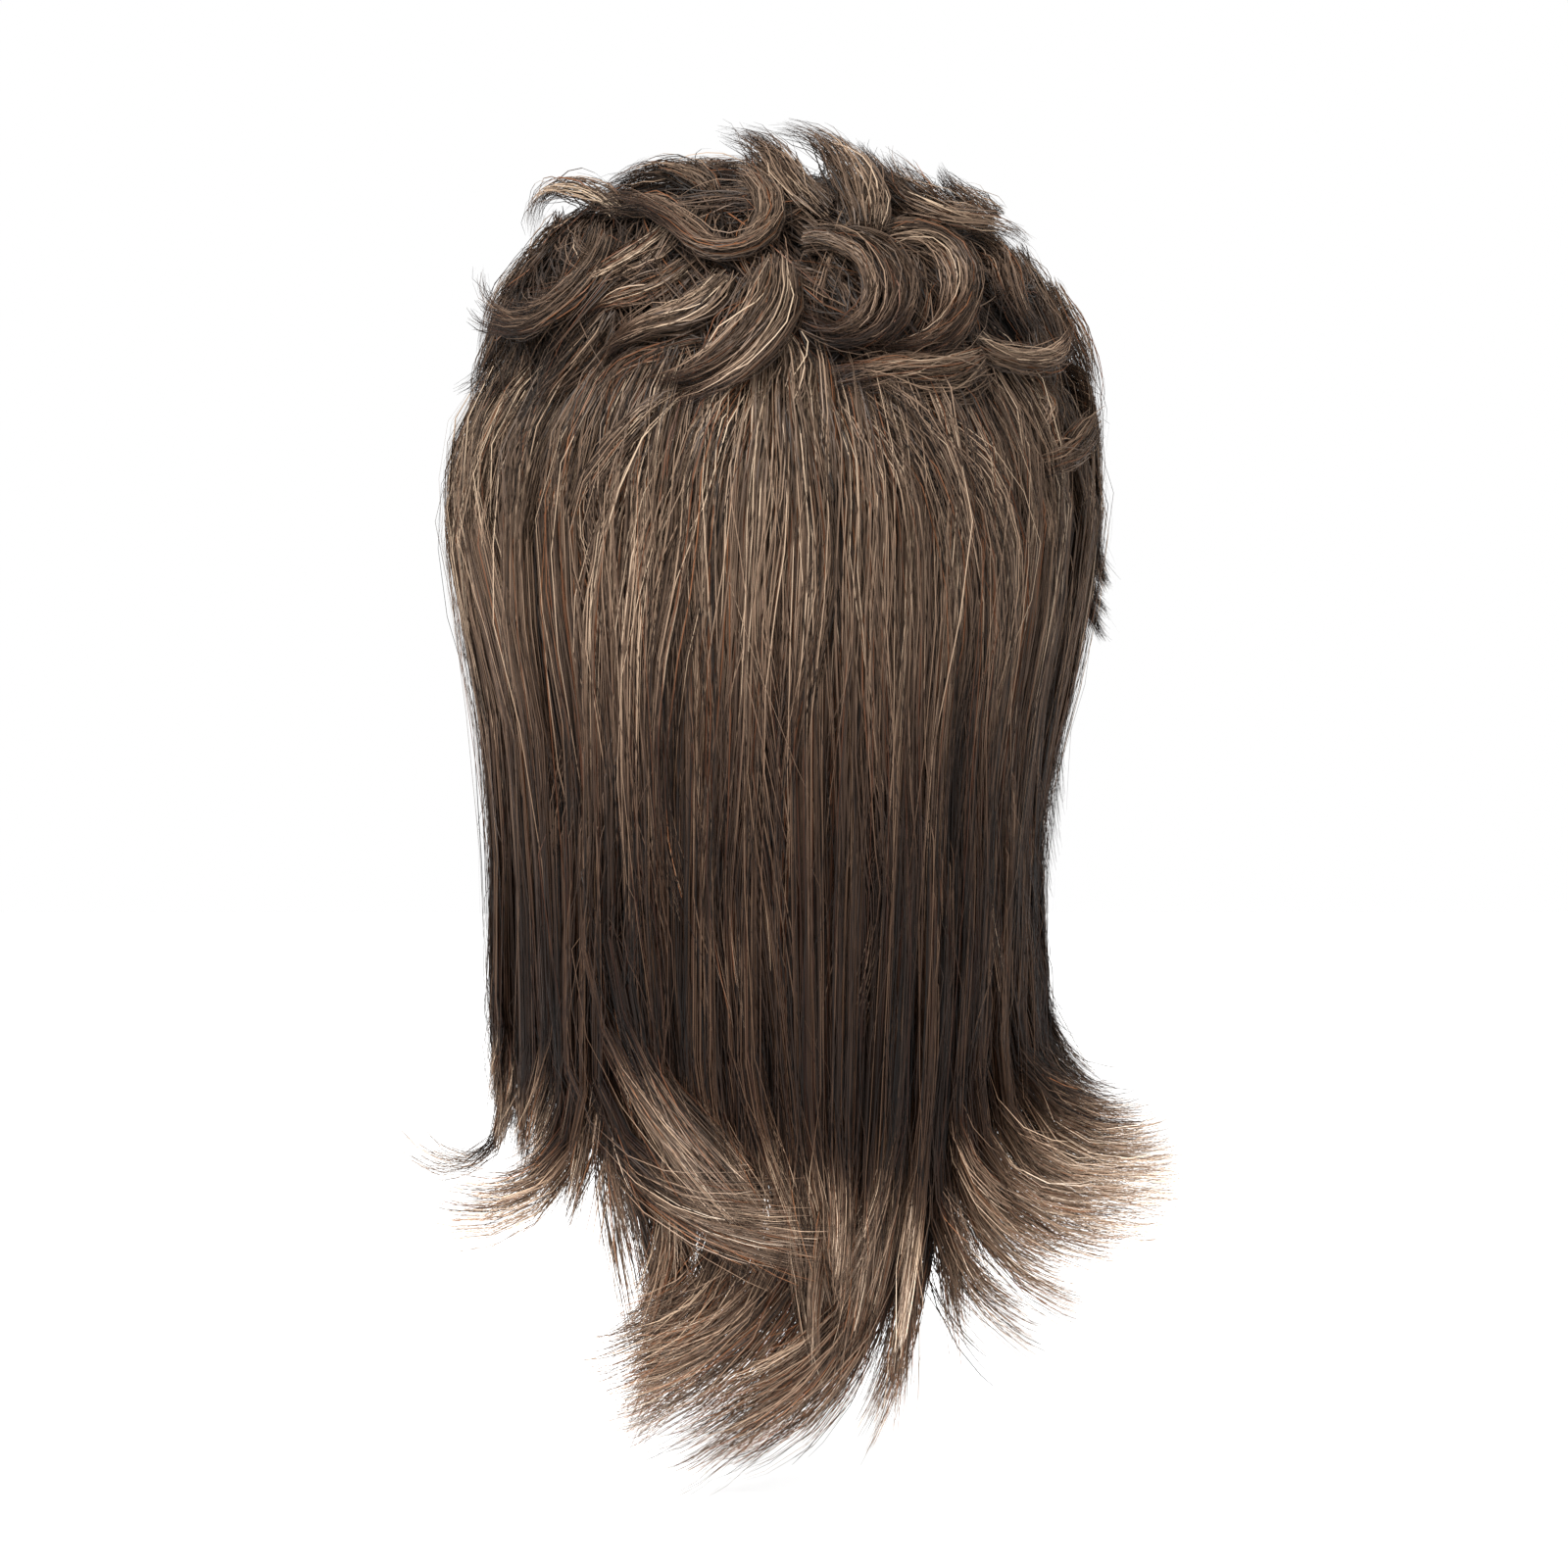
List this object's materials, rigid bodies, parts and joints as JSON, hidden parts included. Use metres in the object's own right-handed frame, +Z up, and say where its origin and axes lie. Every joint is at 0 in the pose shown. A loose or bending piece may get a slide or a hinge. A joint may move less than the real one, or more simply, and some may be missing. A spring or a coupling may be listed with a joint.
{
  "type": "mullet wig",
  "caption": "Mullet wig of wavy ash-brown hair on a hollow net cap: short curls over the crown, a short fringe and sides, and a long straight fall down the back with flipped ends.",
  "frame": {"origin": "the highest point inside the cap, where the crown of the head seats", "axes": "+Z up; the wearer faces +Y; +X is the wearer's right, which is on the right when the wig is seen from behind"},
  "size_m": [0.2485, 0.2434, 0.4241],
  "materials": {
    "cap_net": "dark brown stretch net with rows of sewn wefts",
    "elastic": "dark ribbed elastic tape",
    "hair": "ash-brown synthetic hair with golden and reddish strands and a soft sheen"
  },
  "bodies": {
    "root": {"cap": "cap_net", "edge_band": "elastic", "crown_curls": "hair", "side_hair_right": "hair", "side_hair_left": "hair", "fringe": "hair", "back_fall": "hair"}
  },
  "joints": []
}
